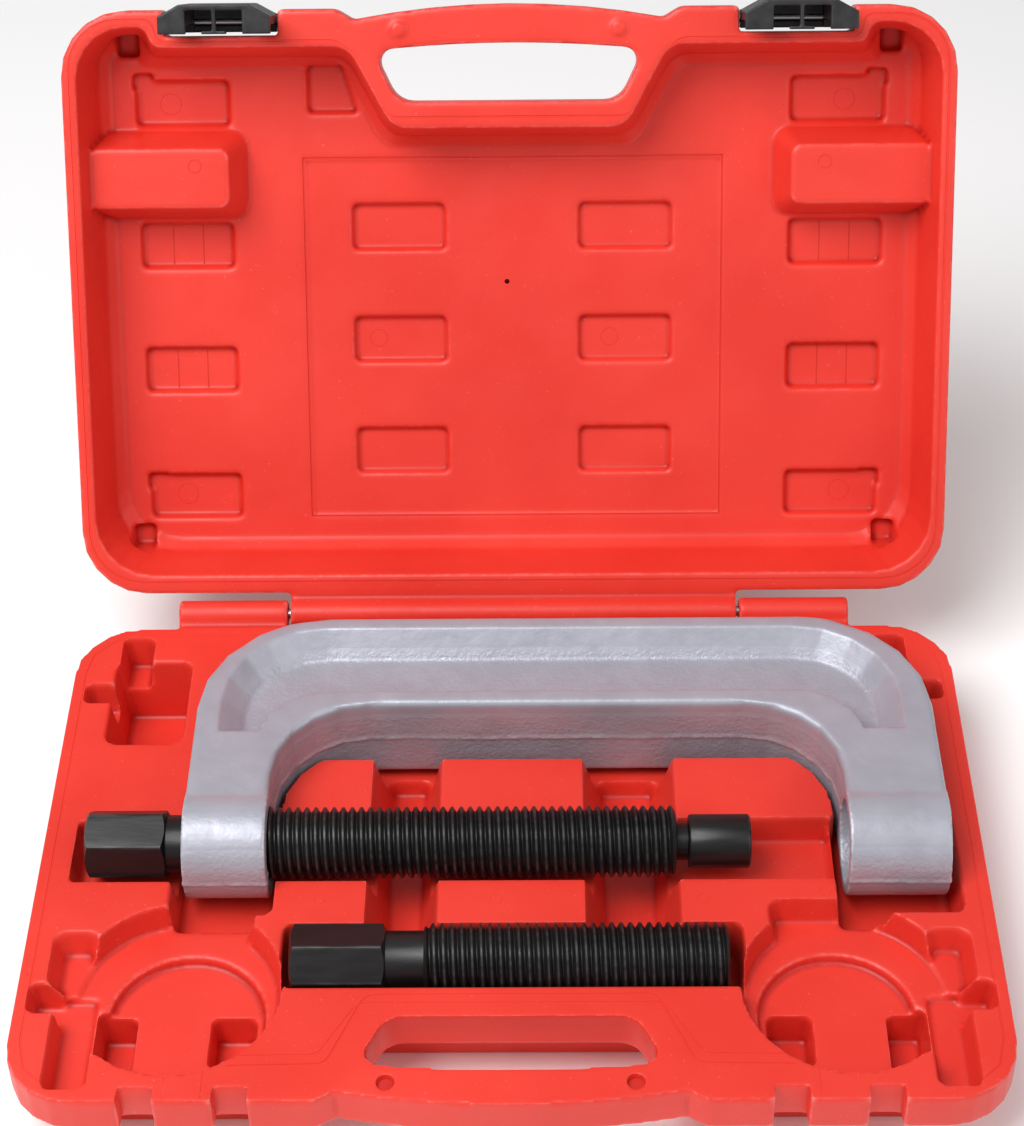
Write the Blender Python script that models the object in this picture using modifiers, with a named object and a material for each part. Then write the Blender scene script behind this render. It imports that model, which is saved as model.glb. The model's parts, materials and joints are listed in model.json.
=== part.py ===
# Ball joint press kit: a forged C-frame press with its forcing screw and a spare
# short screw, lying in an open blow-moulded carry case with a hinged lid and two latches.
# Sizes are in millimetres and every helper scales them to metres. The frame has its origin
# under the middle of the case, +X to the right, +Y to the hinge side and +Z up. Heights of
# the case's features are counted from the rim, where the two halves meet.
import math

import bmesh
import bpy
from mathutils import Matrix, Vector

MM = 0.001

# Case
CASE_HALF_WIDTH = 165.0
CASE_BACK = 109.3
CASE_FRONT = 110.5
CASE_CORNER = 24.0
RIM_HEIGHT = 38.0
FLANGE = 15.0
LID_HEIGHT = 36.0
MATING_GAP = 0.3
BODY_HALF_WIDTH = 158.5
BODY_BACK = 103.5
BODY_CORNER = 16.0
HANDLE_HALF_WIDTH = 57.0
HANDLE_BOW = 5.3
SLOT_FRONT = 95.5
SLOT_BACK = 76.7
SLOT_BOW = 2.4
BUTTON_X = 40.4
BUTTON_Y = -103.0
BUTTON_RADIUS = 2.3

# Hinge
HINGE_Y = 117.25
HINGE_RADIUS = 5.2
HINGE_PIN_RADIUS = 2.0
HINGE_WEB = 4.6
BASE_KNUCKLE = (86.5, 128.5)
LID_BARREL_HALF = 85.5
LID_OPEN_DEG = 118.98

# Latches
LATCH_X = 105.65
LATCH_PIN_Y = -106.0
LATCH_PIN_Z = 10.0
LATCH_PIN_RADIUS = 1.5
LATCH_HALF = 20.3
LATCH_RECESS_HALF = 21.1
NOTCH = (9.75, 20.9)
NOTCH_DEPTH_Y = -105.0

# Running clearance between neighbouring pieces
GAP = 0.3

# Press: screw axis, frame and screws
AXIS_Y = -3.6
AXIS_Z = 3.5
FRAME_LEFT = -113.4
THROAT_LEFT = -84.4
THROAT_RIGHT = 116.0
FRAME_RIGHT = 151.0
FRAME_BACK = 92.6
THROAT_BACK = 47.0
FRAME_THICKNESS = 36.0
BOSS_RADIUS = 19.0
ANVIL_BORE = 14.5
SCREW_RADIUS = 12.5
SCREW_NECK = 10.0
HEX_FLATS = 22.0
FOOT_RADIUS = 9.4
SHORT_Y = -50.5
SHORT_Z = -3.3


def to_metres(points):
    return [Vector((x, y, 0.0)) * MM for x, y in points]


def rounded_outline(corners):
    """Points of a closed outline whose corners (x, y, radius) are arcs."""
    points = []
    count = len(corners)
    for i, (x, y, radius) in enumerate(corners):
        here = Vector((x, y))
        back = (Vector(corners[i - 1][:2]) - here).normalized()
        ahead = (Vector(corners[(i + 1) % count][:2]) - here).normalized()
        if radius == 0:
            points.append((x, y))
            continue
        half = back.angle(ahead) / 2
        centre = here + (back + ahead).normalized() * radius / math.sin(half)
        start = here + back * radius / math.tan(half) - centre
        sweep = math.pi - 2 * half
        if back.cross(ahead) > 0:
            sweep = -sweep
        steps = max(2, math.ceil(abs(sweep) / math.radians(18)))
        for step in range(steps + 1):
            angle = sweep * step / steps
            turned = Matrix.Rotation(angle, 2) @ start
            points.append((centre.x + turned.x, centre.y + turned.y))
    return points


def mirrored(corners):
    """A right-hand run of corners from the back to the front, and its mirror image."""
    return corners + [(-x, y, radius) for x, y, radius in reversed(corners)]


def collection(name):
    made = bpy.data.collections.new(name)
    bpy.context.scene.collection.children.link(made)
    return made


def material(name, colour, roughness, metallic):
    made = bpy.data.materials.new(name)
    made.use_nodes = True
    shader = made.node_tree.nodes["Principled BSDF"]
    shader.inputs["Base Color"].default_value = (*colour, 1.0)
    shader.inputs["Roughness"].default_value = roughness
    shader.inputs["Metallic"].default_value = metallic
    return made


RED = ((0.78, 0.06, 0.035), 0.42, 0.0)
SILVER = ((0.52, 0.54, 0.57), 0.38, 0.8)
BLACK_OXIDE = ((0.03, 0.03, 0.032), 0.4, 0.6)
BLACK_PLASTIC = ((0.02, 0.021, 0.023), 0.5, 0.0)
PLAIN_STEEL = ((0.55, 0.55, 0.56), 0.3, 1.0)


def new_object(name, mesh):
    made = bpy.data.objects.new(name, mesh)
    TOOLS.objects.link(made)
    made.hide_render = True
    made.display_type = "WIRE"
    return made


def finish(piece, name, look):
    """Move a built object out of the cutters' collection and make it a part of the kit."""
    TOOLS.objects.unlink(piece)
    KIT.objects.link(piece)
    piece.name = name
    piece.hide_render = False
    piece.display_type = "TEXTURED"
    piece.data.materials.clear()
    piece.data.materials.append(material(name, *look))
    return piece


def from_bmesh(name, bm):
    bmesh.ops.recalc_face_normals(bm, faces=bm.faces)
    mesh = bpy.data.meshes.new(name)
    bm.to_mesh(mesh)
    bm.free()
    return new_object(name, mesh)


def prism(name, outline, low, high):
    """A flat outline with straight sides between two heights."""
    curve = bpy.data.curves.new(name, "CURVE")
    curve.dimensions = "2D"
    curve.fill_mode = "BOTH"
    curve.extrude = (high - low) * MM / 2
    spline = curve.splines.new("POLY")
    spline.points.add(len(outline) - 1)
    for point, place in zip(spline.points, to_metres(outline)):
        point.co = (*place, 1.0)
    spline.use_cyclic_u = True
    drawn = new_object(name, curve)
    mesh = bpy.data.meshes.new_from_object(drawn.evaluated_get(bpy.context.evaluated_depsgraph_get()))
    bpy.data.objects.remove(drawn)
    bm = bmesh.new()
    bm.from_mesh(mesh)
    bmesh.ops.remove_doubles(bm, verts=bm.verts, dist=0.000001)
    bmesh.ops.translate(bm, verts=bm.verts, vec=(0, 0, (low + high) * MM / 2))
    bpy.data.meshes.remove(mesh)
    return from_bmesh(name, bm)


def lofted(name, sections):
    """A solid through outlines of one point count, given as (outline, height)."""
    bm = bmesh.new()
    rings = []
    for outline, height in sections:
        places = [place + Vector((0, 0, height * MM)) for place in to_metres(outline)]
        verts = [bm.verts.new(place) for place in places]
        edges = [bm.edges.new((a, b)) for a, b in zip(verts, verts[1:] + verts[:1])]
        rings.append((verts, edges))
    for (_, lower), (_, upper) in zip(rings, rings[1:]):
        bmesh.ops.bridge_loops(bm, edges=lower + upper)
    bm.faces.new(rings[0][0])
    bm.faces.new(rings[-1][0])
    return from_bmesh(name, bm)


def rectangle(x, y, inset, radius):
    low_x, high_x = x[0] + inset, x[1] - inset
    low_y, high_y = y[0] + inset, y[1] - inset
    corners = [(high_x, high_y), (high_x, low_y), (low_x, low_y), (low_x, high_y)]
    return rounded_outline([(cx, cy, radius) for cx, cy in corners])


def well(name, x, y, floor, slope, radius=3.0, mouth=0.0):
    """A pocket with sloping walls: slope is how far each wall leans in at the floor."""
    over = mouth + math.copysign(2.0, mouth - floor)
    flare = slope * 2.0 / abs(mouth - floor)
    return lofted(
        name,
        [(rectangle(x, y, slope, radius * 0.6), floor), (rectangle(x, y, -flare, radius), over)],
    )


def round_well(name, x, y, radius, floor, slope):
    def circle(size):
        angles = [math.tau * step / 40 for step in range(40)]
        return [(x + size * math.cos(a), y + size * math.sin(a)) for a in angles]

    return lofted(name, [(circle(radius - slope), floor), (circle(radius), 2.0)])


def along_x(bm):
    bmesh.ops.rotate(bm, verts=bm.verts, matrix=Matrix.Rotation(math.pi / 2, 3, "Y"))


def rod(name, radius, start, end, y, z, segments=32):
    """A cylinder along X between two x positions."""
    bm = bmesh.new()
    bmesh.ops.create_cone(
        bm,
        cap_ends=True,
        segments=segments,
        radius1=radius * MM,
        radius2=radius * MM,
        depth=(end - start) * MM,
    )
    along_x(bm)
    bmesh.ops.translate(bm, verts=bm.verts, vec=Vector(((start + end) / 2, y, z)) * MM)
    return from_bmesh(name, bm)


def block(name, x, y, z):
    bm = bmesh.new()
    bmesh.ops.create_cube(bm, size=1.0)
    size = Vector((x[1] - x[0], y[1] - y[0], z[1] - z[0])) * MM
    centre = Vector((x[0] + x[1], y[0] + y[1], z[0] + z[1])) * MM / 2
    bmesh.ops.scale(bm, verts=bm.verts, vec=size)
    bmesh.ops.translate(bm, verts=bm.verts, vec=centre)
    return from_bmesh(name, bm)


def turned(name, profile, steps=48, closed=False):
    """A turned piece along X: its profile is (radius, x), from the largest x to the smallest."""
    bm = bmesh.new()
    verts = [bm.verts.new((radius * MM, 0, x * MM)) for radius, x in profile]
    for a, b in zip(verts, verts[1:]):
        bm.edges.new((a, b))
    if closed:
        bm.edges.new((verts[-1], verts[0]))
    mesh = bpy.data.meshes.new(name)
    bm.to_mesh(mesh)
    bm.free()
    piece = new_object(name, mesh)
    screw = piece.modifiers.new("Turned", "SCREW")
    screw.axis = "Z"
    screw.angle = math.tau
    screw.steps = steps
    screw.render_steps = steps
    screw.use_merge_vertices = True
    screw.merge_threshold = 0.00001
    piece.rotation_euler = (0, math.pi / 2, 0)
    return piece


def combine(piece, operation, *others):
    for other in others:
        step = piece.modifiers.new(other.name, "BOOLEAN")
        step.operation = operation
        step.object = other
        step.solver = "EXACT"
    return piece


def with_tools(piece):
    """A piece and everything that its Booleans use, and theirs in turn."""
    group = [piece]
    for step in piece.modifiers:
        if step.type == "BOOLEAN":
            group += with_tools(step.object)
    return group


def place_all(piece, place, parent=None):
    """Put a piece and its cutters at one place, given in millimetres."""
    for item in with_tools(piece):
        item.location = Vector(place) * MM
        item.parent = parent


def bevel(piece, width, segments=2, angle=50):
    step = piece.modifiers.new("Rounded edges", "BEVEL")
    step.width = width * MM
    step.segments = segments
    step.limit_method = "ANGLE"
    step.angle_limit = math.radians(angle)
    return piece


def bowed(half_width, end_y, bow):
    """Points of a gently bowed edge, from the right end to the left end."""
    steps = 8
    xs = [half_width * (1 - 2 * step / steps) for step in range(steps + 1)]
    return [(x, end_y - bow * (1 - (x / half_width) ** 2), 0.0) for x in xs]


def case_outline():
    right = [
        (CASE_HALF_WIDTH, CASE_BACK, CASE_CORNER),
        (CASE_HALF_WIDTH, -CASE_FRONT, CASE_CORNER),
        (63.5, -CASE_FRONT, 5.0),
    ]
    left = [(-x, y, radius) for x, y, radius in reversed(right)]
    return rounded_outline(right + bowed(HANDLE_HALF_WIDTH, -106.6, HANDLE_BOW) + left)


def base_body_outline(lean):
    side = BODY_HALF_WIDTH - lean
    right = [
        (side, BODY_BACK - lean, BODY_CORNER),
        (side, -93.0 + lean, BODY_CORNER),
        (72.0 + lean, -93.0 + lean, 8.0),
        (60.0 + lean, -66.0 + lean, 8.0),
    ]
    return rounded_outline(mirrored(right))


def lid_body_outline(lean):
    """As the base's body, but fuller in front, where the lid's bays and latch walls are."""
    side = BODY_HALF_WIDTH - lean
    right = [
        (side, BODY_BACK - lean, BODY_CORNER),
        (side, -107.5 + lean, BODY_CORNER),
        (131.0 + lean, -107.5 + lean, 3.0),
        (128.0 + lean, -100.0 + lean, 3.0),
        (62.5 + lean, -100.0 + lean, 8.0),
        (46.0 + lean, -71.5 + lean, 8.0),
    ]
    return rounded_outline(mirrored(right))


def slot_outline():
    right = [(41.0, -SLOT_BACK, 9.0), (50.0, -SLOT_FRONT, 5.0)]
    left = [(-x, y, radius) for x, y, radius in reversed(right)]
    front = bowed(38.0, -SLOT_FRONT - 0.9, SLOT_BOW - 0.9)
    return rounded_outline(right + front + left)


def tray_outline(lean):
    """The lid's inside: corner bays in front, latch walls, and a step back round the handle."""
    side = 159.5 - lean
    right = [
        (side, 102.0 - lean, 21.0),
        (side, -104.5 + lean, 19.0 - 1.6 * lean),
        (133.5 + lean, -104.5 + lean, 4.0),
        (130.5 + lean, -97.0 + lean, 4.0),
        (59.0 + lean * 0.6, -97.0 + lean, 9.0),
        (43.0 + lean * 0.6, -67.0 + lean, 10.0),
    ]
    return rounded_outline(mirrored(right))


def case_half(name, flange, body):
    """One half of the case: the flange slab with its handle slot, and the body behind it."""
    shell = prism(name, case_outline(), *flange)
    combine(shell, "UNION", lofted(name + "_body", body))
    combine(shell, "DIFFERENCE", prism(name + "_slot", slot_outline(), flange[0] - 3, flange[1] + 3))
    return shell


def frame_outline(grow, end_y):
    """The C of the press frame seen from above, grown on every side."""
    left, right = FRAME_LEFT - grow, FRAME_RIGHT + grow
    inner_left, inner_right = THROAT_LEFT + grow, THROAT_RIGHT - grow
    return rounded_outline(
        [
            (left, end_y, 0.0),
            (left, FRAME_BACK + grow, 46.0 + grow),
            (right, FRAME_BACK + grow, 46.0 + grow),
            (right, end_y, 0.0),
            (inner_right, end_y, 0.0),
            (inner_right, THROAT_BACK - grow, 33.0 - grow),
            (inner_left, THROAT_BACK - grow, 33.0 - grow),
            (inner_left, end_y, 0.0),
        ]
    )


def base_pockets():
    """Every pocket of the base: (name, x, y, floor, slope, radius), floors below the rim."""
    pockets = [
        ("screw_channel", (-153.8, 113.0), (-17.6, 10.4), -11.0, 1.5, 2.0),
        ("short_screw_bay", (-77.5, 78.5), (-64.0, -36.9), -17.5, 1.5, 3.0),
        ("left_leg_bay", (-118.0, -82.0), (-33.0, 12.0), -18.0, 1.5, 4.0),
        ("right_leg_bay", (112.0, 155.0), (-33.0, 12.0), -18.0, 1.5, 4.0),
        ("rib_back_gap", (-70.0, 100.0), (39.8, 52.0), -18.0, 1.0, 3.0),
        ("cross_channel_left", (-50.2, -25.7), (-42.0, 50.0), -24.0, 6.0, 3.0),
        ("cross_channel_right", (25.5, 58.0), (-42.0, 50.0), -24.0, 7.0, 3.0),
    ]
    for side, hand in ((-1, "left"), (1, "right")):
        for name, near, far, y, floor, slope, radius in (
            ("back_pocket", 121.0, 149.5, (48.5, 91.0), -27.0, 2.5, 4.0),
            ("back_pocket_ear", 136.5, 148.5, (86.0, 104.0), -13.5, 1.5, 3.0),
            ("side_pocket_ear", 146.0, 160.0, (69.5, 79.5), -13.5, 1.5, 3.0),
            ("front_corner_slot", 137.5, 151.5, (-105.0, -60.0), -12.0, 1.5, 3.0),
            ("front_corner_ear", 148.0, 161.0, (-74.0, -62.0), -12.0, 1.5, 3.0),
            ("corner_passage", 139.5, 155.5, (-64.0, -40.0), -9.0, 3.0, 5.0),
            ("ring_bay", 88.0, 118.0, (-60.0, -27.0), -10.0, 2.0, 4.0),
            ("outer_finger_slot", 124.5, 139.0, (-91.0, -66.0), -26.0, 1.5, 3.0),
            ("inner_finger_slot", 84.5, 101.0, (-88.0, -66.0), -26.0, 1.5, 3.0),
        ):
            x = (near, far) if side > 0 else (-far, -near)
            pockets.append((f"{hand}_{name}", x, y, floor, slope, radius))
    return pockets


def make_base():
    body = [(base_body_outline(3.0), -RIM_HEIGHT), (base_body_outline(0.0), 1.0 - FLANGE)]
    base = case_half("base_shell", (-FLANGE, 0.0), body)
    for side in (-1, 1):
        low, high = sorted(side * x for x in BASE_KNUCKLE)
        knuckle = rod(f"knuckle_{side}", HINGE_RADIUS, low, high, HINGE_Y, 0.0)
        web = block(f"web_{side}", (low, high), (CASE_BACK - 4.0, HINGE_Y), (-HINGE_WEB, -0.4))
        combine(base, "UNION", web, knuckle)
        bore = rod(f"base_pin_bore_{side}", HINGE_PIN_RADIUS + GAP, low - 1, high - 3, HINGE_Y, 0.0, 24)
        if side < 0:
            bore = rod(f"base_pin_bore_{side}", HINGE_PIN_RADIUS + GAP, low + 3, high + 1, HINGE_Y, 0.0, 24)
        combine(base, "DIFFERENCE", bore)
        ring = round_well(f"ring_recess_{side}", side * 112.0, -64.0, 36.0, -10.0, 2.0)
        disc = round_well(f"disc_recess_{side}", side * 108.5, -70.0, 26.8, -13.5, 0.5)
        combine(base, "DIFFERENCE", ring, disc)
        dimple = round_well(f"dimple_{side}", side * BUTTON_X, BUTTON_Y, BUTTON_RADIUS + 0.4, -1.9, 0.2)
        combine(base, "DIFFERENCE", dimple)
        for notch_side in (-1, 1):
            x = sorted(side * LATCH_X + notch_side * offset for offset in NOTCH)
            notch = block(f"notch_{side}_{notch_side}", x, (-125.0, NOTCH_DEPTH_Y), (-FLANGE - 3, 3.0))
            combine(base, "DIFFERENCE", notch)
    trough = prism("frame_trough", frame_outline(1.8, -10.0), -18.0, 3.0)
    combine(base, "DIFFERENCE", trough)
    for name, x, y, floor, slope, radius in base_pockets():
        combine(base, "DIFFERENCE", well(name, x, y, floor, slope, radius))
    place_all(base, (0, 0, RIM_HEIGHT))
    return finish(base, "base_shell", RED)


def lid_pockets():
    """The lid's shallow tack pockets: (x, y) of each, cut into its floor."""
    pockets = []
    for low_y in (-37.5, 5.9, 49.6):
        for low_x in (-61.3, 25.5):
            pockets.append(((low_x, low_x + 36.8), (low_y, low_y + 18.8)))
    for low_y in (-84.5, -30.6, 17.5, 67.5):
        for low_x in (-142.5, 106.0):
            pockets.append(((low_x, low_x + 36.5), (low_y, low_y + 18.2)))
    return pockets


def make_lid(axis):
    floor = 29.0
    bottom = MATING_GAP
    body = [(lid_body_outline(0.0), FLANGE - 1.0), (lid_body_outline(3.0), LID_HEIGHT)]
    lid = case_half("lid_shell", (bottom, FLANGE), body)
    tray = [
        (tray_outline(-0.5), bottom - 3.0),
        (tray_outline(4.0), 24.5),
        (tray_outline(8.5), floor),
    ]
    steps = [("DIFFERENCE", lofted("tray", tray))]
    for side in (-1, 1):
        foot_x = sorted((side * 100.0, side * 156.2))
        head_x = sorted((side * 105.5, side * 158.6))
        bolster = [
            (rectangle(foot_x, (-65.1, -31.9), 0.0, 6.0), floor + 1.0),
            (rectangle(head_x, (-59.6, -37.4), 0.0, 4.0), 11.0),
        ]
        steps.append(("UNION", lofted(f"bolster_{side}", bolster)))
        button = rod_up(f"button_{side}", BUTTON_RADIUS, side * BUTTON_X, BUTTON_Y, bottom - 1.2, bottom + 1)
        steps.append(("UNION", button))
        recess_x = (side * LATCH_X - LATCH_RECESS_HALF, side * LATCH_X + LATCH_RECESS_HALF)
        recess = block(f"latch_recess_{side}", recess_x, (-130.0, -101.0), (bottom - 3, FLANGE + 3))
        steps.append(("DIFFERENCE", recess))
        pin_x = (recess_x[0] - 4.0, recess_x[1] + 4.0)
        bore = rod(
            f"latch_pin_bore_{side}", LATCH_PIN_RADIUS + GAP, *pin_x, LATCH_PIN_Y, LATCH_PIN_Z, 20
        )
        steps.append(("DIFFERENCE", bore))
    for x, y in lid_pockets():
        steps.append(("DIFFERENCE", well("tack_pocket", x, y, 32.5, 1.0, 2.5, mouth=floor)))
    panel = rectangle((-79.0, 80.8), (-54.5, 85.0), 0.0, 0.8)
    steps.append(("DIFFERENCE", prism("centre_panel", panel, floor - 1.0, floor + 0.8)))
    half = LID_BARREL_HALF
    web = block("lid_web", (-half, half), (CASE_BACK - 4.0, HINGE_Y), (0.6, HINGE_WEB))
    steps.append(("UNION", web))
    steps.append(("UNION", rod("lid_barrel", HINGE_RADIUS, -half, half, HINGE_Y, 0.0)))
    for side in (-1, 1):
        x = sorted((side * (half - 16.0), side * (half + 1.0)))
        steps.append(("DIFFERENCE", rod(f"lid_bore_{side}", HINGE_PIN_RADIUS + GAP, *x, HINGE_Y, 0.0, 24)))
    for operation, other in steps:
        combine(lid, operation, other)
    for item in with_tools(lid):
        item.data.transform(Matrix.Translation(Vector((0, -HINGE_Y, 0)) * MM))
    place_all(lid, (0, 0, 0), axis)
    return finish(lid, "lid_shell", RED)


def rod_up(name, radius, x, y, low, high):
    bm = bmesh.new()
    bmesh.ops.create_cone(
        bm,
        cap_ends=True,
        segments=24,
        radius1=radius * MM,
        radius2=radius * MM,
        depth=(high - low) * MM,
    )
    bmesh.ops.translate(bm, verts=bm.verts, vec=Vector((x, y, (low + high) / 2)) * MM)
    return from_bmesh(name, bm)


def make_hinge_pins():
    for side, name in ((-1, "hinge_pin_left"), (1, "hinge_pin_right")):
        low, high = sorted((side * (LID_BARREL_HALF - 14.0), side * (BASE_KNUCKLE[1] - 4.5)))
        pin = rod(name, HINGE_PIN_RADIUS, low, high, 0.0, 0.0, 24)
        pin.location = Vector((0, HINGE_Y, RIM_HEIGHT)) * MM
        finish(pin, name, PLAIN_STEEL)


def make_latch(side, name, lid_axis):
    """A latch modelled shut about its own pin, which lies in the lid's front flange."""
    front = -112.8 - LATCH_PIN_Y
    back = -102.3 - LATCH_PIN_Y
    half = LATCH_HALF
    low, high = -18.2 - LATCH_PIN_Z, 13.2 - LATCH_PIN_Z
    lid_low = MATING_GAP + 0.6 - LATCH_PIN_Z
    cheek = rounded_outline(
        [
            (half, back, 0.0),
            (half, front + 4.2, 0.0),
            (12.5, front, 1.5),
            (-12.5, front, 1.5),
            (-half, front + 4.2, 0.0),
            (-half, back, 0.0),
        ]
    )
    latch = prism(name, cheek, low, high)
    combine(latch, "UNION", block("barrel_seat", (-half, half), (-3.0, 3.2), (lid_low + 6.2, 3.2)))
    tab_room = block("tab_room", (-NOTCH[0] - 0.5, NOTCH[0] + 0.5), (-4.9, 8.0), (low - 2, lid_low + 7.5))
    inner = block("inner_room", (-half - 1, half + 1), (0.6, 8.0), (low + 2.6, lid_low + 6.0))
    combine(latch, "DIFFERENCE", tab_room, inner)
    for arm in (-1, 1):
        x = sorted((arm * (NOTCH[0] + 2.8), arm * (half - 2.2)))
        hollow = block(f"arm_hollow_{arm}", x, (-3.2, 8.0), (low + 5.2, lid_low + 4.5))
        lip_x = sorted((arm * (NOTCH[0] + 0.5), arm * half))
        lip = block(f"lip_{arm}", lip_x, (-1.0, 3.4), (low, low + 2.6))
        combine(latch, "DIFFERENCE", hollow)
        combine(latch, "UNION", lip)
    bore = rod("latch_bore", LATCH_PIN_RADIUS + GAP, -half - 2, half + 2, 0.0, 0.0, 20)
    combine(latch, "DIFFERENCE", bore)
    axis = bpy.data.objects.new(name + "_axis", None)
    KIT.objects.link(axis)
    axis.parent = lid_axis
    axis.location = Vector((side * LATCH_X, LATCH_PIN_Y - HINGE_Y, LATCH_PIN_Z)) * MM
    place_all(latch, (0, 0, 0), axis)
    finish(latch, name, BLACK_PLASTIC)
    pin_half = LATCH_RECESS_HALF + 3.5
    pin_name = name.replace("latch", "latch_pin")
    pin = rod(pin_name, LATCH_PIN_RADIUS, -pin_half, pin_half, 0.0, 0.0, 20)
    place_all(pin, (0, 0, 0), axis)
    finish(pin, pin_name, PLAIN_STEEL)


def pocket_outline(outer, inner):
    """The long recess in the web of the frame: outer and inner are how far its walls lean in."""
    return rounded_outline(
        [
            (-105.5 + outer, 34.0, 0.0),
            (-105.5 + outer, 87.0 - outer, 37.0 - outer),
            (140.5 - outer, 87.0 - outer, 37.0 - outer),
            (140.5 - outer, 34.0, 0.0),
            (125.5 + inner, 34.0, 0.0),
            (125.5 + inner, 53.5 + inner, 24.0),
            (-90.5 - inner, 53.5 + inner, 24.0),
            (-90.5 - inner, 34.0, 0.0),
        ]
    )


def make_frame():
    half = FRAME_THICKNESS / 2
    outline = [(x, y - AXIS_Y) for x, y in frame_outline(0.0, AXIS_Y)]
    frame = prism("c_frame", outline, -half, half)
    bevel(frame, 2.0)
    left = rod("left_boss", BOSS_RADIUS, FRAME_LEFT, THROAT_LEFT, 0.0, 0.0, 48)
    right = rod("right_boss", BOSS_RADIUS, THROAT_RIGHT, FRAME_RIGHT, 0.0, 0.0, 48)
    combine(frame, "UNION", left, right)
    for side in (-1, 1):
        mouth = [(x, y - AXIS_Y) for x, y in pocket_outline(0.0, 0.0)]
        web = [(x, y - AXIS_Y) for x, y in pocket_outline(9.0, 1.0)]
        recess = [(web, side * (half - 9.0)), (mouth, side * (half + 0.6))]
        combine(frame, "DIFFERENCE", lofted(f"web_recess_{side}", recess))
    screw_bore = rod(
        "screw_bore", SCREW_RADIUS + GAP, FRAME_LEFT - 2, THROAT_LEFT + 2, 0.0, 0.0, 48
    )
    anvil_bore = rod("anvil_bore", ANVIL_BORE, THROAT_RIGHT - 2, FRAME_RIGHT + 2, 0.0, 0.0, 48)
    combine(frame, "DIFFERENCE", screw_bore, anvil_bore)
    place_all(frame, (0, AXIS_Y, RIM_HEIGHT + AXIS_Z))
    return finish(frame, "c_frame", SILVER)


def make_hex(name, start, end, turn):
    """A hexagonal head with chamfered corners, from x start to x end."""
    bm = bmesh.new()
    radius = HEX_FLATS / math.sqrt(3) * MM
    bmesh.ops.create_cone(
        bm, cap_ends=True, segments=6, radius1=radius, radius2=radius, depth=(end - start) * MM
    )
    bmesh.ops.rotate(bm, verts=bm.verts, matrix=Matrix.Rotation(math.radians(turn), 3, "Z"))
    along_x(bm)
    bmesh.ops.translate(bm, verts=bm.verts, vec=((start + end) / 2 * MM, 0, 0))
    head = from_bmesh(name, bm)
    flat, corner = HEX_FLATS / 2 - 0.6, HEX_FLATS / math.sqrt(3) + 0.4
    profile = [(0, end), (flat, end), (corner, end - 1.6), (corner, start + 1.6), (flat, start), (0, start)]
    combine(head, "INTERSECT", turned(name + "_chamfer", profile, 36))
    return head


def make_screw(name, hex_x, thread_x, tail, place, turn):
    """A forcing screw along X: hexagon, neck, thread at its major diameter, then its tail."""
    chamfer = 1.6
    profile = [
        *tail,
        (SCREW_RADIUS - chamfer, thread_x[1]),
        (SCREW_RADIUS, thread_x[1] - chamfer),
        (SCREW_RADIUS, thread_x[0] + chamfer),
        (SCREW_NECK, thread_x[0]),
        (SCREW_NECK, hex_x[1] - 4.0),
        (0.0, hex_x[1] - 4.0),
    ]
    screw = turned(name, profile)
    combine(screw, "UNION", make_hex(name + "_hex", *hex_x, turn))
    place_all(screw, place)
    return finish(screw, name, BLACK_OXIDE)


def make_foot():
    """The foot that turns on the long screw's nose, and the ring that keeps it there."""
    start, end, bore = 61.6, 83.0, 5.0 + GAP
    profile = [
        (0.0, end),
        (FOOT_RADIUS - 0.8, end),
        (FOOT_RADIUS, end - 0.8),
        (FOOT_RADIUS, start + 0.5),
        (FOOT_RADIUS - 0.5, start),
        (bore, start),
        (bore, 68.6),
        (6.7, 68.6),
        (6.7, 71.4),
        (bore, 71.4),
        (bore, 76.0),
        (0.0, 76.0),
    ]
    foot = turned("pressure_foot", profile)
    ring_profile = [(6.3, 71.0), (6.3, 69.0), (4.6, 69.0), (4.6, 71.0)]
    ring = turned("foot_ring", ring_profile, 32, closed=True)
    for piece, name, look in (
        (foot, "pressure_foot", BLACK_OXIDE),
        (ring, "foot_retaining_ring", PLAIN_STEEL),
    ):
        piece.location = Vector((0, AXIS_Y, RIM_HEIGHT + AXIS_Z)) * MM
        finish(piece, name, look)


def main():
    make_base()
    lid_axis = bpy.data.objects.new("lid_hinge_axis", None)
    KIT.objects.link(lid_axis)
    lid_axis.location = Vector((0, HINGE_Y, RIM_HEIGHT)) * MM
    make_lid(lid_axis)
    make_hinge_pins()
    for side, name in ((-1, "latch_left"), (1, "latch_right")):
        make_latch(side, name, lid_axis)
    lid_axis.rotation_euler.x = math.radians(-LID_OPEN_DEG)
    make_frame()
    nose = [
        (0.0, 75.5),
        (5.0, 75.5),
        (5.0, 71.4),
        (4.2, 71.4),
        (4.2, 68.6),
        (5.0, 68.6),
        (5.0, 61.2),
        (6.5, 61.2),
        (6.5, 57.0),
    ]
    axis_place = (0, AXIS_Y, RIM_HEIGHT + AXIS_Z)
    make_screw("forcing_screw_long", (-148.0, -120.0), (-112.6, 57.0), nose, axis_place, 18)
    short_tail = [(0.0, 73.0)]
    short_place = (0, SHORT_Y, RIM_HEIGHT + SHORT_Z)
    make_screw("forcing_screw_short", (-74.4, -42.2), (-29.3, 73.0), short_tail, short_place, 48)
    make_foot()


for leftover in list(bpy.data.objects):
    bpy.data.objects.remove(leftover)
KIT = collection("Ball joint press kit")
TOOLS = collection("Cutters")
main()
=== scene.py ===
import json
import math

import bmesh
import bpy
from mathutils import Matrix, Vector, kdtree, noise

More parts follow.
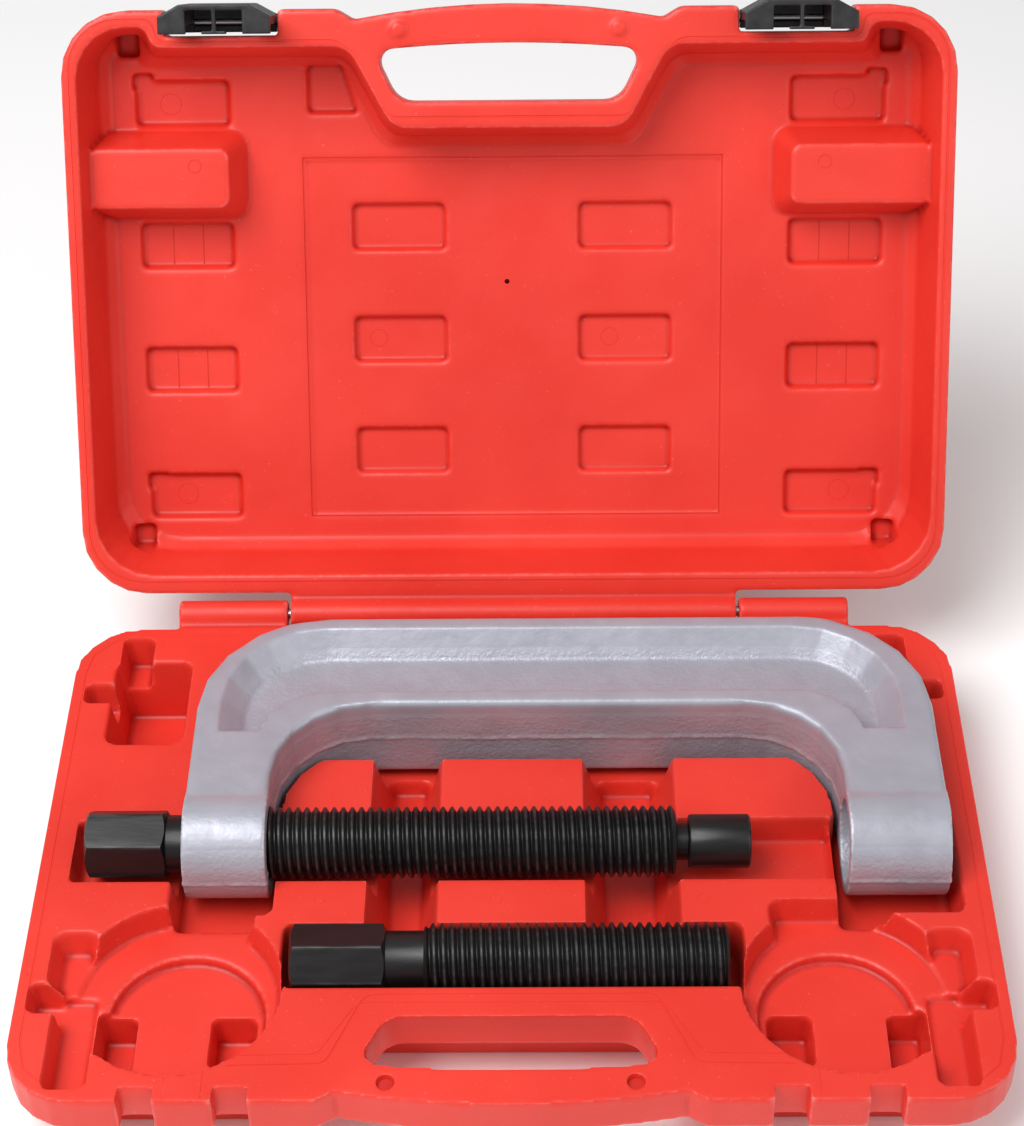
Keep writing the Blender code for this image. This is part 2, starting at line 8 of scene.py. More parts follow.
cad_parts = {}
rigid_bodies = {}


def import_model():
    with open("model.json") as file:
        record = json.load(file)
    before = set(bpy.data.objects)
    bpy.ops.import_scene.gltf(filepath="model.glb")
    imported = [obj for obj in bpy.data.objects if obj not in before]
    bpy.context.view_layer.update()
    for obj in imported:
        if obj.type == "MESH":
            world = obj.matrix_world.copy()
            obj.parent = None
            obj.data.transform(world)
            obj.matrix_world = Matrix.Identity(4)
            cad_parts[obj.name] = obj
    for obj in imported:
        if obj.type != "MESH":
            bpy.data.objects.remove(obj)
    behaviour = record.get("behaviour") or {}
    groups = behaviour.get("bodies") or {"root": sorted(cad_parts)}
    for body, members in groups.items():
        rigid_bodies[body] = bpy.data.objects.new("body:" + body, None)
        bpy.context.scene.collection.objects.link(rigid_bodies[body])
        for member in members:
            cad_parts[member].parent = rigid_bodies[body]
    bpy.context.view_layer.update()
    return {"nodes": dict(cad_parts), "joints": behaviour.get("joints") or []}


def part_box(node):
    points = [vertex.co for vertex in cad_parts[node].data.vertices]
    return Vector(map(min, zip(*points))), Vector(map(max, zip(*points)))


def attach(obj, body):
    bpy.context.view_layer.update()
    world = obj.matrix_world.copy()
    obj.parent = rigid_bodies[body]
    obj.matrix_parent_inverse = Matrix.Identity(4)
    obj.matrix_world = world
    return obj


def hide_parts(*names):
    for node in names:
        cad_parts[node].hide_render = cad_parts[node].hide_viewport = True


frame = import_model()
print("frame loaded:", ", ".join(sorted(frame["nodes"])))

mm = 0.001
joints = {joint["name"]: joint for joint in frame["joints"]}
hinge = Vector(joints["lid_hinge"]["pos_m"])
rim = hinge.z  # height of the plane where the two halves of the case meet
lidTilt = math.radians(joints["lid_hinge"]["range_deg"][0])

# from a half's own millimetres (x, y, height over the rim, case shut) to the open case
basePlace = Matrix.Translation((0, 0, rim))
lidPlace = Matrix.Translation(hinge) @ Matrix.Rotation(lidTilt, 4, "X") @ Matrix.Translation((0, -hinge.y, 0))


# meshes

def keepMesh(bm, name):
    mesh = bpy.data.meshes.new(name)
    bm.to_mesh(mesh)
    bm.free()
    piece = bpy.data.objects.new(name, mesh)
    bpy.context.scene.collection.objects.link(piece)
    return piece


def copyNode(node, name, place=None):
    bm = bmesh.new()
    bm.from_mesh(frame["nodes"][node].data)
    bmesh.ops.remove_doubles(bm, verts=bm.verts, dist=0.000005)
    if place:
        bmesh.ops.transform(bm, matrix=place.inverted(), verts=bm.verts)
    return keepMesh(bm, name)


def applyModifiers(piece):
    graph = bpy.context.evaluated_depsgraph_get()
    baked = bpy.data.meshes.new_from_object(piece.evaluated_get(graph))
    piece.modifiers.clear()
    piece.data = baked
    return piece


def soften(piece, voxel, passes, strength=0.5):
    skin = piece.modifiers.new("Skin", "REMESH")
    skin.mode = "VOXEL"
    skin.voxel_size = voxel * mm
    smooth = piece.modifiers.new("Soft edges", "SMOOTH")
    smooth.factor = strength
    smooth.iterations = passes
    return applyModifiers(piece)


def cutWith(piece, cutters, operation="DIFFERENCE"):
    group = bpy.data.collections.new("cutters")
    for cutter in cutters:
        bpy.context.scene.collection.objects.unlink(cutter)
        group.objects.link(cutter)
    bpy.context.scene.collection.children.link(group)
    step = piece.modifiers.new("Cut", "BOOLEAN")
    step.operation = operation
    step.operand_type = "COLLECTION"
    step.collection = group
    step.solver = "MANIFOLD"
    applyModifiers(piece)
    for cutter in list(group.objects):
        bpy.data.objects.remove(cutter)
    bpy.data.collections.remove(group)
    return piece


def thinOut(piece, triangles):
    count = sum(len(face.vertices) - 2 for face in piece.data.polygons)
    if count > triangles:
        step = piece.modifiers.new("Thin", "DECIMATE")
        step.ratio = triangles / count
        applyModifiers(piece)
    return piece


def shadeSmooth(piece, degrees):
    piece.data.shade_smooth()
    piece.data.set_sharp_from_angle(angle=math.radians(degrees))
    return piece


def taperedBlock(x, y, floor, top, lean, corner, name="block"):
    # a block between two heights whose floor is smaller by lean on each side
    bm = bmesh.new()
    bmesh.ops.create_cube(bm, size=1.0)
    for vert in bm.verts:
        inset = lean if vert.co.z < 0 else 0.0
        vert.co.x = (x[0] + inset if vert.co.x < 0 else x[1] - inset) * mm
        vert.co.y = (y[0] + inset if vert.co.y < 0 else y[1] - inset) * mm
        vert.co.z = (floor if vert.co.z < 0 else top) * mm
    if corner:
        tall = 0.5 * abs(top - floor) * mm
        upright = [edge for edge in bm.edges if abs(edge.verts[0].co.z - edge.verts[1].co.z) > tall]
        bmesh.ops.bevel(bm, geom=upright, offset=corner * mm, offset_type="OFFSET", segments=4, profile=0.5,
                        affect="EDGES", material=-1)
    bmesh.ops.recalc_face_normals(bm, faces=bm.faces)
    return keepMesh(bm, name)


def roundPlug(x, y, radius, low, high, taper=0.0, sides=40, name="plug"):
    bm = bmesh.new()
    bmesh.ops.create_cone(bm, cap_ends=True, segments=sides, radius1=(radius - taper) * mm, radius2=radius * mm,
                          depth=(high - low) * mm)
    bmesh.ops.translate(bm, verts=bm.verts, vec=Vector((x, y, (low + high) / 2)) * mm)
    return keepMesh(bm, name)


def wire(points, height, radius, closed=False, name="wire"):
    # a thin round wire through points at one height, to press a line into a surface
    line = bpy.data.curves.new(name, "CURVE")
    line.dimensions = "3D"
    line.bevel_depth = radius * mm
    line.bevel_resolution = 1
    line.use_fill_caps = True
    spline = line.splines.new("POLY")
    spline.points.add(len(points) - 1)
    for point, place in zip(spline.points, points):
        lift = place[2] if len(place) > 2 else height
        point.co = (place[0] * mm, place[1] * mm, lift * mm, 1.0)
    spline.use_cyclic_u = closed
    drawn = bpy.data.objects.new(name, line)
    bpy.context.scene.collection.objects.link(drawn)
    graph = bpy.context.evaluated_depsgraph_get()
    bm = bmesh.new()
    bm.from_mesh(bpy.data.meshes.new_from_object(drawn.evaluated_get(graph)))
    bmesh.ops.remove_doubles(bm, verts=bm.verts, dist=0.000002)
    bmesh.ops.recalc_face_normals(bm, faces=bm.faces)
    bpy.data.objects.remove(drawn)
    return keepMesh(bm, name)


def ringWire(x, y, size, height, radius, name="ring"):
    steps = [math.tau * step / 28 for step in range(28)]
    return wire([(x + size * math.cos(a), y + size * math.sin(a)) for a in steps], height, radius, True, name)


def roundCorners(corners, steps=6):
    # an outline of (x, y, radius) corners as points, with the corners turned into arcs
    points = []
    for i, (x, y, radius) in enumerate(corners):
        here = Vector((x, y))
        back = (Vector(corners[i - 1][:2]) - here).normalized()
        ahead = (Vector(corners[(i + 1) % len(corners)][:2]) - here).normalized()
        if radius == 0:
            points.append((x, y))
            continue
        half = back.angle(ahead) / 2
        centre = here + (back + ahead).normalized() * radius / math.sin(half)
        start = here + back * radius / math.tan(half) - centre
        sweep = (math.pi - 2 * half) * (-1 if back.cross(ahead) > 0 else 1)
        for step in range(steps + 1):
            turned = Matrix.Rotation(sweep * step / steps, 2) @ start
            points.append((centre.x + turned.x, centre.y + turned.y))
    return points


def mirrorRun(run):
    return run + [(-x, y, radius) for x, y, radius in reversed(run)]


edgeMark = {"reach": 0.16, "passes": 8}


def markEdges(piece, reach, passes):
    # how proud each point stands of its smoothed surroundings: above 0 on outer edges, below 0 in corners
    dense = piece.data.copy()
    probe = bpy.data.objects.new("probe", dense)
    bpy.context.scene.collection.objects.link(probe)
    smooth = probe.modifiers.new("Smooth", "SMOOTH")
    smooth.iterations = passes
    graph = bpy.context.evaluated_depsgraph_get()
    relaxed = bpy.data.meshes.new_from_object(probe.evaluated_get(graph))
    tree = kdtree.KDTree(len(dense.vertices))
    values = []
    for i, (before, after) in enumerate(zip(dense.vertices, relaxed.vertices)):
        values.append((before.co - after.co).dot(before.normal) / (reach * mm))
        tree.insert(before.co, i)
    tree.balance()
    bpy.data.objects.remove(probe)
    return tree, values


def writeEdges(piece, tree, values):
    layer = piece.data.attributes.new("edge", "FLOAT", "POINT")
    for i, vert in enumerate(piece.data.vertices):
        layer.data[i].value = values[tree.find(vert.co)[1]]


def dressUp(piece, body, nodes, material):
    piece.data.materials.clear()
    piece.data.materials.append(material)
    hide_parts(*nodes)
    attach(piece, body)
    print(piece.name, len(piece.data.polygons), "faces")
    return piece


# materials

def addNode(tree, kind, values=None, **settings):
    made = tree.nodes.new(kind)
    for name, value in settings.items():
        setattr(made, name, value)
    for name, value in (values or {}).items():
        made.inputs[name].default_value = value
    return made


def newMaterial(name):
    material = bpy.data.materials.new(name)
    material.use_nodes = True
    tree = material.node_tree
    return material, tree, tree.nodes["Principled BSDF"], addNode(tree, "ShaderNodeTexCoord")


def grain(tree, coords, scale, detail=2.0, stretch=(1, 1, 1), rough=0.5):
    mapping = addNode(tree, "ShaderNodeMapping", {"Scale": stretch})
    pattern = addNode(tree, "ShaderNodeTexNoise", {"Scale": scale, "Detail": detail, "Roughness": rough})
    tree.links.new(coords.outputs["Object"], mapping.inputs["Vector"])
    tree.links.new(mapping.outputs["Vector"], pattern.inputs["Vector"])
    return pattern.outputs["Fac"]


def spread(tree, value, low, high, outLow=0.0, outHigh=1.0):
    step = addNode(tree, "ShaderNodeMapRange",
                   {"From Min": low, "From Max": high, "To Min": outLow, "To Max": outHigh})
    tree.links.new(value, step.inputs["Value"])
    return step.outputs["Result"]


def times(tree, a, b):
    step = addNode(tree, "ShaderNodeMath", operation="MULTIPLY")
    tree.links.new(a, step.inputs[0])
    if isinstance(b, float):
        step.inputs[1].default_value = b
    else:
        tree.links.new(b, step.inputs[1])
    return step.outputs[0]


def tint(tree, share, first, second, mode="MIX"):
    mix = addNode(tree, "ShaderNodeMix", data_type="RGBA", blend_type=mode)
    tree.links.new(share, mix.inputs[0])
    for socket, colour in ((mix.inputs[6], first), (mix.inputs[7], second)):
        if isinstance(colour, tuple):
            socket.default_value = (*colour, 1.0)
        else:
            tree.links.new(colour, socket)
    return mix.outputs[2]


def bumps(tree, shader, layers):
    # layers are (height, how deep in millimetres); each goes on top of the one before
    below = None
    for height, depth in layers:
        step = addNode(tree, "ShaderNodeBump", {"Strength": 1.0, "Distance": depth * mm})
        tree.links.new(height, step.inputs["Height"])
        if below:
            tree.links.new(below, step.inputs["Normal"])
        below = step.outputs["Normal"]
    tree.links.new(below, shader.inputs["Normal"])


def attribute(tree, name):
    return addNode(tree, "ShaderNodeAttribute", attribute_name=name).outputs["Fac"]


redLook = {"lit": (0.76, 0.042, 0.026), "deep": (0.69, 0.031, 0.018), "bleached": (0.95, 0.60, 0.56),
           "paintedCreaseShade": (0.42, 0.008, 0.005), "specular": 0.42}


def makeRedPlastic():
    material, tree, shader, coords = newMaterial("red blow-moulded plastic")
    mottle = tint(tree, spread(tree, grain(tree, coords, 16, 4), 0.35, 0.65), redLook["lit"], redLook["deep"])
    edge = attribute(tree, "edge")
    # corners and creases, where edge is below 0, are darkened towards a deep red: painted shade in the hollows,
    # standing in for the light that falls off there
    paintedCreaseShade = spread(tree, edge, -0.2, -1.1)
    shaded = tint(tree, times(tree, paintedCreaseShade, 0.85), mottle, redLook["paintedCreaseShade"])
    patchy = spread(tree, grain(tree, coords, 260, 5, rough=0.7), 0.42, 0.62)
    edgePatches = times(tree, spread(tree, edge, 0.75, 2.4), patchy)
    bleached = tint(tree, times(tree, edgePatches, 0.45), shaded, redLook["bleached"])
    specks = spread(tree, grain(tree, coords, 900, 2), 0.70, 0.76)
    speckled = tint(tree, times(tree, specks, 0.12), bleached, redLook["bleached"])
    tree.links.new(speckled, shader.inputs["Base Color"])
    rough = spread(tree, grain(tree, coords, 45, 4), 0.3, 0.7, 0.36, 0.50)
    tree.links.new(rough, shader.inputs["Roughness"])
    shader.inputs["Specular IOR Level"].default_value = redLook["specular"]
    bumps(tree, shader, [(grain(tree, coords, 70, 3), 0.22), (grain(tree, coords, 1100, 2), 0.018)])
    return material


silverLook = {"light": (0.40, 0.405, 0.465), "dark": (0.365, 0.37, 0.425), "bare": (0.66, 0.66, 0.68),
              "metal": 0.30, "specular": 0.5}


def makeSilverPaint():
    material, tree, shader, coords = newMaterial("silver paint on forged steel")
    mottle = tint(tree, spread(tree, grain(tree, coords, 60, 5), 0.35, 0.65),
                  silverLook["light"], silverLook["dark"])
    edge = attribute(tree, "edge")
    patchy = spread(tree, grain(tree, coords, 300, 4), 0.40, 0.60)
    edgePatches = times(tree, spread(tree, edge, 0.5, 1.3), patchy)
    tree.links.new(tint(tree, times(tree, edgePatches, 0.7), mottle, silverLook["bare"]),
                   shader.inputs["Base Color"])
    rough = spread(tree, grain(tree, coords, 160, 4), 0.3, 0.7, 0.34, 0.50)
    tree.links.new(rough, shader.inputs["Roughness"])
    shader.inputs["Metallic"].default_value = silverLook["metal"]
    shader.inputs["Specular IOR Level"].default_value = silverLook["specular"]
    # the narrow floor of the recess is coarser than the rest
    low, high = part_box("c_frame")
    place = addNode(tree, "ShaderNodeSeparateXYZ")
    tree.links.new(coords.outputs["Object"], place.inputs[0])
    floor = spread(tree, place.outputs["Z"], high.z - 6.5 * mm, high.z - 8.5 * mm)
    pits = times(tree, grain(tree, coords, 620, 3, rough=0.6), floor)
    bumps(tree, shader, [(grain(tree, coords, 260, 4, rough=0.6), 0.09), (grain(tree, coords, 800, 3), 0.05),
                         (pits, 0.30)])
    return material


blackLook = {"oxide": (0.0065, 0.0063, 0.0068), "rubbedAndHighlight": (0.060, 0.058, 0.060),
             "metal": 0.30, "specular": 0.5}


def makeBlackOxide(name, stretch):
    material, tree, shader, coords = newMaterial(name)
    edge = attribute(tree, "edge")
    patchy = spread(tree, grain(tree, coords, 420, 4, stretch), 0.35, 0.65)
    # where the edge attribute is high (thread crests, hex corners, the foot's edge ring) the black is lightened
    # towards rubbed steel in patches: painted highlight on the sharp edges together with rubbed oxide
    edgePatches = times(tree, spread(tree, edge, 0.3, 1.1), patchy)
    cloud = spread(tree, grain(tree, coords, 80, 4, stretch), 0.3, 0.7, 0.0, 0.18)
    base = tint(tree, cloud, blackLook["oxide"], blackLook["rubbedAndHighlight"])
    tree.links.new(tint(tree, times(tree, edgePatches, 0.8), base, blackLook["rubbedAndHighlight"]), shader.inputs["Base Color"])
    rough = spread(tree, grain(tree, coords, 300, 4, stretch), 0.3, 0.7, 0.28, 0.44)
    tree.links.new(rough, shader.inputs["Roughness"])
    shader.inputs["Metallic"].default_value = blackLook["metal"]
    shader.inputs["Specular IOR Level"].default_value = blackLook["specular"]
    bumps(tree, shader, [(grain(tree, coords, 900, 3, stretch), 0.03)])
    return material


latchLook = {"black": (0.008, 0.008, 0.009), "grey": (0.022, 0.022, 0.024), "specular": 0.45}


def makeBlackPlastic():
    material, tree, shader, coords = newMaterial("black latch plastic")
    cloud = tint(tree, spread(tree, grain(tree, coords, 220, 4), 0.35, 0.7),
                 latchLook["black"], latchLook["grey"])
    tree.links.new(cloud, shader.inputs["Base Color"])
    rough = spread(tree, grain(tree, coords, 400, 3), 0.3, 0.7, 0.38, 0.55)
    tree.links.new(rough, shader.inputs["Roughness"])
    shader.inputs["Specular IOR Level"].default_value = latchLook["specular"]
    bumps(tree, shader, [(grain(tree, coords, 1600, 2), 0.02)])
    return material


steelLook = {"bright": (0.62, 0.62, 0.63), "dull": (0.42, 0.42, 0.43)}


def makeSteel():
    material, tree, shader, coords = newMaterial("drawn steel wire")
    lines = grain(tree, coords, 900, 3, (0.04, 1, 1))
    tree.links.new(tint(tree, spread(tree, lines, 0.3, 0.7), steelLook["bright"], steelLook["dull"]),
                   shader.inputs["Base Color"])
    tree.links.new(spread(tree, lines, 0.3, 0.7, 0.22, 0.38), shader.inputs["Roughness"])
    shader.inputs["Metallic"].default_value = 1.0
    bumps(tree, shader, [(lines, 0.01)])
    return material


redPlastic = makeRedPlastic()
silverPaint = makeSilverPaint()
hexOxide = makeBlackOxide("black oxide steel", (0.25, 1, 1))
blackPlastic = makeBlackPlastic()
steelWire = makeSteel()
print("materials made")


# base of the case

baseShape = {"voxel": 0.9, "smoothing": 4, "triangles": 195000, "lineWidth": 0.42,
             "dimpleAt": (40.4, -103.0), "dimpleRadius": 3.3, "latchX": 105.65, "notch": (9.75, 20.9)}


def makeBase():
    base = copyNode("base_shell", "case_base", basePlace)
    soften(base, baseShape["voxel"], baseShape["smoothing"])
    tree, values = markEdges(base, edgeMark["reach"], edgeMark["passes"])
    line = baseShape["lineWidth"]
    bandOuter = roundCorners([(-92.0, -96.3, 0), (-60.3, -95.7, 5), (-48.4, -67.6, 6), (48.4, -67.6, 6),
                              (60.3, -95.7, 5), (92.0, -96.3, 0)])
    bandInner = roundCorners([(-92.0, -92.4, 0), (-62.9, -91.9, 5), (-50.8, -71.0, 6), (50.8, -71.0, 6),
                              (62.9, -91.9, 5), (92.0, -92.4, 0)])
    cutters = [wire(bandOuter, 0.1, line), wire(bandInner, 0.1, line * 0.8)]
    for side in (-1, 1):
        rimLine = [(side * 92.0, 105.2), (side * 140.0, 105.2), (side * 151.0, 102.5), (side * 158.6, 95.0),
                   (side * 160.6, 85.0), (side * 160.6, -86.0), (side * 158.0, -97.0), (side * 150.0, -104.5)]
        cutters.append(wire(rimLine, 0.12, line))
        for x in (99.5, 111.8):
            cutters.append(wire([(side * x, -98.5), (side * x, -112.0)], 0.05, line * 0.5))
        cutters.append(ringWire(side * 35.0, 31.5, 1.9, 0.1, line * 0.6))
        cutters.append(ringWire(side * 66.0, -26.5, 1.9, 0.1, line * 0.6))
    for side in (-1, 1):  # notches and dimples are cut again, because softening fills them in
        dimpleX, dimpleY = baseShape["dimpleAt"]
        cutters.append(roundPlug(side * dimpleX, dimpleY, baseShape["dimpleRadius"], -2.0, 1.5,
                                 taper=0.5, sides=32))
        inner, outer = baseShape["notch"]
        for near, far in ((inner, outer), (-outer, -inner)):
            notch = (side * baseShape["latchX"] + near, side * baseShape["latchX"] + far)
            cutters.append(taperedBlock(notch, (-125.0, -104.9), -20.0, 3.0, 0.0, 0.0))
    cutters.append(ringWire(-5.0, -27.0, 1.9, 0.1, line * 0.6))
    cutters.append(ringWire(108.0, -24.0, 1.9, 0.1, line * 0.6))
    cutWith(base, cutters)
    thinOut(base, baseShape["triangles"])
    writeEdges(base, tree, values)
    base.data.transform(basePlace)
    shadeSmooth(base, 38)
    return dressUp(base, "base", ["base_shell"], redPlastic)


makeBase()


# lid of the case

lidShape = {"voxel": 0.9, "smoothing": 4, "triangles": 195000, "lineWidth": 0.42, "trapezoidFloor": 31.6}


def lidHollows():
    # shallow hollows and ledges that are rounded over together with the lid
    hollows = []
    trapezoid = taperedBlock((-77.5, -63.0), (-90.0, -70.5), lidShape["trapezoidFloor"], 27.0, 1.2, 3.0)
    for vert in trapezoid.data.vertices:
        if vert.co.x > -70 * mm:
            vert.co.x += (vert.co.y / mm + 90.0) * 0.33 * mm
    hollows.append(trapezoid)
    for side in (-1, 1):
        for y in (-87.2, 67.0):
            ear = sorted((side * 134.5, side * 143.6))
            hollows.append(taperedBlock(ear, (y, y + 7.5), 32.5, 27.0, 0.8, 2.0))
        ledge = sorted((side * 139.0, side * 149.0))
        hollows.append(taperedBlock(ledge, (-103.5, -92.0), 33.2, 20.0, 1.0, 2.5))
        backCorner = sorted((side * 140.0, side * 150.0))
        hollows.append(taperedBlock(backCorner, (87.0, 97.5), 32.8, 20.0, 1.0, 2.5))
    return hollows


def makeLid():
    lid = copyNode("lid_shell", "case_lid", lidPlace)
    cutWith(lid, lidHollows())
    soften(lid, lidShape["voxel"], lidShape["smoothing"])
    tree, values = markEdges(lid, edgeMark["reach"], edgeMark["passes"])
    line = lidShape["lineWidth"]
    panel = [(-79.0, -54.5), (80.8, -54.5), (80.8, 85.0), (-79.0, 85.0)]
    cutters = [wire(panel, 29.25, line * 1.2, True), roundPlug(-1.6, -6.8, 1.0, 27.0, 34.8, sides=24)]
    rimStep = roundCorners(mirrorRun([(161.8, 104.8, 20), (161.8, -107.2, 18), (130.8, -107.2, 4),
                                      (128.6, -99.3, 4), (61.4, -99.3, 8), (46.2, -71.2, 9)]))
    cutters.append(wire(rimStep, 0.2, line * 1.1, True))
    for x, y in ((-129.0, -75.0), (-128.0, 76.5), (127.0, -75.0), (128.0, 76.5)):
        cutters.append(ringWire(x, y, 4.0, 32.45, line * 0.55))
    for x, y in ((-51.5, 15.2), (38.0, 15.2)):
        cutters.append(ringWire(x, y, 3.3, 32.45, line * 0.55))
    for side in (-1, 1):
        cutters.append(ringWire(side * 118.0, -53.0, 2.4, 11.0, line * 0.55))
        for low in (-30.6, 17.5):
            for x in (118.5, 130.0):
                cutters.append(wire([(side * x, low + 1.6), (side * x, low + 16.6)], 32.45, line * 0.6))
    cutWith(lid, cutters)
    thinOut(lid, lidShape["triangles"])
    writeEdges(lid, tree, values)
    lid.data.transform(lidPlace)
    shadeSmooth(lid, 38)
    return dressUp(lid, "lid", ["lid_shell"], redPlastic)


makeLid()


# C-frame of the press

pressShape = {"voxel": 0.75, "smoothing": 3, "triangles": 195000, "flashHeight": 0.55, "flashWidth": 1.1,
              "castLumps": 0.06}


def makePress():
    press = copyNode("c_frame", "press_frame")
    soften(press, pressShape["voxel"], pressShape["smoothing"])
    low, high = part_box("c_frame")
    middle = (low.z + high.z) / 2
    tree, values = markEdges(press, edgeMark["reach"], edgeMark["passes"])
    boreY = joints["screw_turn"]["pos_m"][1]
    places = [vert.co.copy() for vert in press.data.vertices]
    normals = [vert.normal.copy() for vert in press.data.vertices]
    moved = []
    for i, (place, normal) in enumerate(zip(places, normals)):
        lumps = noise.fractal(place * 160, 0.6, 2.0, 3) * pressShape["castLumps"] * mm
        inBore = math.hypot(place.y - boreY, place.z - middle) < 15.5 * mm and abs(normal.x) < 0.6
        if inBore:
            lumps = 0.0
        elif abs(normal.z) < 0.5:
            wander = middle + noise.noise(place * 45) * 0.9 * mm
            near = 1 - abs(place.z - wander) / (pressShape["flashWidth"] * mm)
            if near > 0:
                ragged = 0.75 + 0.5 * noise.noise(place * 210)
                lumps += near * ragged * pressShape["flashHeight"] * mm
                values[i] = max(values[i], near * 1.3)
        moved.extend(place + normal * lumps)
    press.data.vertices.foreach_set("co", moved)
    press.data.update()
    thinOut(press, pressShape["triangles"])
    writeEdges(press, tree, values)
    shadeSmooth(press, 60)
    return dressUp(press, "press", ["c_frame"], silverPaint)


makePress()


# turned and threaded pieces, drawn along X and then put on their own axis

def turnedSolid(profile, name, steps=64):
    # profile: (x, radius) points that start and end on the axis
    bm = bmesh.new()
    verts = [bm.verts.new((x * mm, 0, radius * mm)) for x, radius in profile]
    edges = [bm.edges.new(pair) for pair in zip(verts, verts[1:])]
    bmesh.ops.spin(bm, geom=verts + edges, cent=(0, 0, 0), axis=(1, 0, 0), angle=math.tau,
                   steps=steps, use_merge=True)
    bmesh.ops.remove_doubles(bm, verts=bm.verts, dist=0.000002)
    bmesh.ops.recalc_face_normals(bm, faces=bm.faces)
    return keepMesh(bm, name)


screwShape = {"pitch": 3.175, "crest": 12.48, "root": 10.75, "chamfer": 1.5, "neck": 10.0, "flats": 22.0,
              "hexEdge": 0.45, "hexChamfer": 1.6, "steps": 48}


def threadedRod(start, end, name):
    # a zig-zag line of teeth, spun one turn while it climbs one pitch
    pitch, crest, root = screwShape["pitch"], screwShape["crest"], screwShape["root"]
    tooth = ((0.0, root), (0.10, root), (0.41, crest - 0.14), (0.46, crest),
             (0.64, crest), (0.69, crest - 0.14))
    bm = bmesh.new()
    verts = []
    for turn in range(math.ceil((end - start) / pitch) + 4):
        for share, radius in tooth:
            verts.append(bm.verts.new(((start + (turn + share - 2.5) * pitch) * mm, 0, radius * mm)))
    edges = [bm.edges.new(pair) for pair in zip(verts, verts[1:])]
    climb = Vector((pitch * mm / screwShape["steps"], 0, 0))
    bmesh.ops.spin(bm, geom=verts + edges, cent=(0, 0, 0), axis=(1, 0, 0), dvec=climb, angle=math.tau,
                   steps=screwShape["steps"], use_merge=False)
    bmesh.ops.remove_doubles(bm, verts=bm.verts, dist=0.00001)
    bmesh.ops.holes_fill(bm, edges=bm.edges)
    bmesh.ops.recalc_face_normals(bm, faces=bm.faces)
    rod = keepMesh(bm, name)
    crestEnd, chamfer = crest + 0.05, screwShape["chamfer"]
    envelope = turnedSolid([(start, 0), (start, crestEnd - chamfer), (start + chamfer, crestEnd),
                            (end - chamfer, crestEnd), (end, crestEnd - chamfer), (end, 0)], "envelope", 96)
    return cutWith(rod, [envelope], "INTERSECT")


def hexHead(start, end, turn):
    bm = bmesh.new()
    radius = screwShape["flats"] / math.sqrt(3)
    bmesh.ops.create_cone(bm, cap_ends=True, segments=6, radius1=radius * mm, radius2=radius * mm,
                          depth=(end - start) * mm)
    upright = [edge for edge in bm.edges if abs(edge.verts[0].co.z - edge.verts[1].co.z) > mm]
    bmesh.ops.bevel(bm, geom=upright, offset=screwShape["hexEdge"] * mm, offset_type="OFFSET", segments=3,
                    profile=0.5, affect="EDGES", material=-1)
    bmesh.ops.rotate(bm, verts=bm.verts, matrix=Matrix.Rotation(math.radians(turn), 3, "Z"))
    bmesh.ops.rotate(bm, verts=bm.verts, matrix=Matrix.Rotation(math.pi / 2, 3, "Y"))
    bmesh.ops.translate(bm, verts=bm.verts, vec=((start + end) / 2 * mm, 0, 0))
    head = keepMesh(bm, "hex")
    flat, corner, slope = screwShape["flats"] / 2 - 0.5, radius + 0.4, screwShape["hexChamfer"]
    cone = turnedSolid([(start, 0), (start, flat), (start + slope, corner), (end - slope, corner), (end, flat),
                        (end, 0)], "hexChamfer", 96)
    return cutWith(head, [cone], "INTERSECT")


def makeScrew(node, name, body, turn, hexLength, threadFrom, threadTo, nose, material):
    low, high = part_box(node)
    start = low.x / mm
    thread = threadedRod(start + threadFrom, start + threadTo, name)
    core = turnedSolid([(start + hexLength - 3, 0), (start + hexLength - 3, screwShape["neck"]),
                        (start + threadFrom - 0.6, screwShape["neck"]), (start + threadFrom + 1.0, 10.3),
                        (start + threadTo - 1.0, 10.3), *[(start + x, radius) for x, radius in nose]], "core")
    head = hexHead(start, start + hexLength, turn)
    cutWith(thread, [core, head], "UNION")
    # the edge value grows with the distance from the axis, so thread crests and hex corners are painted lighter
    # by the black oxide: painted highlight on those edges together with rubbed oxide
    layer = thread.data.attributes.new("edge", "FLOAT", "POINT")
    for i, vert in enumerate(thread.data.vertices):
        layer.data[i].value = (math.hypot(vert.co.y, vert.co.z) / mm - 12.15) / 0.35
    axis = Vector((0, (low.y + high.y) / 2, (low.z + high.z) / 2))
    thread.data.transform(Matrix.Translation(axis))
    shadeSmooth(thread, 32)
    return dressUp(thread, body, [node], material)


longNose = [(205.0, 9.0), (205.6, 6.5), (209.2, 6.5), (209.2, 5.0), (216.6, 5.0), (216.6, 4.2), (219.4, 4.2),
            (219.4, 5.0), (223.5, 5.0), (223.5, 0)]
makeScrew("forcing_screw_long", "long_screw", "long_screw", 18, 28.0, 35.4, 205.0, longNose, hexOxide)
makeScrew("forcing_screw_short", "short_screw", "short_screw", 48, 32.2, 45.1, 147.4,
          [(147.3, 10.3), (147.3, 0)], hexOxide)


